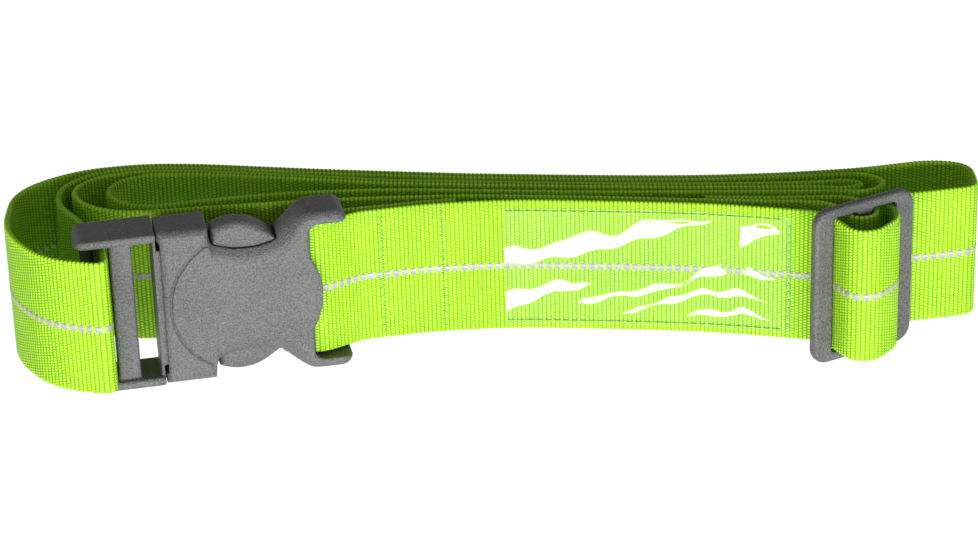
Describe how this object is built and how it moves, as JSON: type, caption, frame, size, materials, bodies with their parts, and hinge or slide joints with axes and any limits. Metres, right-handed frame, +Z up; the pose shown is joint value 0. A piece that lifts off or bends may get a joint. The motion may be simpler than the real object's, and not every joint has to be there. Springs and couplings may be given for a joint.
{
  "type": "luggage strap",
  "caption": "Flat webbing luggage strap folded into a compact pack, with a side-release buckle, a three-bar slider and a clear sewn ID window.",
  "frame": {"origin": "middle of the footprint on the surface that the folded strap stands on", "axes": "+X along the folded strap from the buckle end to the slider end, +Y from its front to its back, +Z up"},
  "size_m": [0.2558, 0.0656, 0.0494],
  "materials": {
    "webbing": "woven polyester webbing, ribbed across, bright lime green with a grey reflective tracer",
    "buckle_plastic": "moulded dark grey acetal with a fine sandblasted texture",
    "clear_film": "clear flexible vinyl, glossy",
    "thread": "pale green polyester sewing thread"
  },
  "bodies": {
    "root": {"female_buckle": "buckle_plastic", "buckle_loop": "webbing", "front_run": "webbing", "id_window": "clear_film", "window_stitching": "thread", "bartack_by_buckle": "thread", "bartack_at_return": "thread", "loop_front": "webbing", "right_loop": "webbing", "outer_back_run": "webbing", "middle_fold_second": "webbing", "middle_fold_third": "webbing", "left_loop_inner": "webbing", "left_loop_third": "webbing", "sewn_end_run": "webbing", "sewn_tail": "webbing"},
    "male_half": {"male_buckle": "buckle_plastic", "male_bar_wrap": "webbing", "left_loop_outer": "webbing", "left_loop_second": "webbing"},
    "upper_latch": {"upper_prong": "buckle_plastic"},
    "lower_latch": {"lower_prong": "buckle_plastic"},
    "slider": {"slider_frame": "buckle_plastic", "slider_bridge": "webbing", "anchor_loop": "webbing"}
  },
  "joints": [
    {"name": "unclip", "type": "slide", "parent": "root", "child": "male_half", "axis": [-0.9822, -0.183, 0.0414], "range_m": [0, 0.034], "deforming": ["left_loop_outer", "left_loop_second", "left_loop_third", "left_loop_inner", "upper_prong", "lower_prong"]},
    {"name": "squeeze_upper", "type": "hinge", "parent": "male_half", "child": "upper_latch", "pos_m": [-0.08274, -0.01087, 0.03951], "axis": [-0.1874, 0.9689, -0.1619], "range_deg": [0, 10], "stiffness_Nm_per_rad": 0.4},
    {"name": "squeeze_lower", "type": "hinge", "parent": "male_half", "child": "lower_latch", "pos_m": [-0.08303, -0.01548, 0.01229], "axis": [0.1874, -0.9689, 0.1619], "range_deg": [0, 10], "stiffness_Nm_per_rad": 0.4},
    {"name": "adjust", "type": "slide", "parent": "root", "child": "slider", "axis": [0.9999, -0.0017, -0.0103], "range_m": [0, 0.008], "deforming": ["loop_front"]}
  ]
}
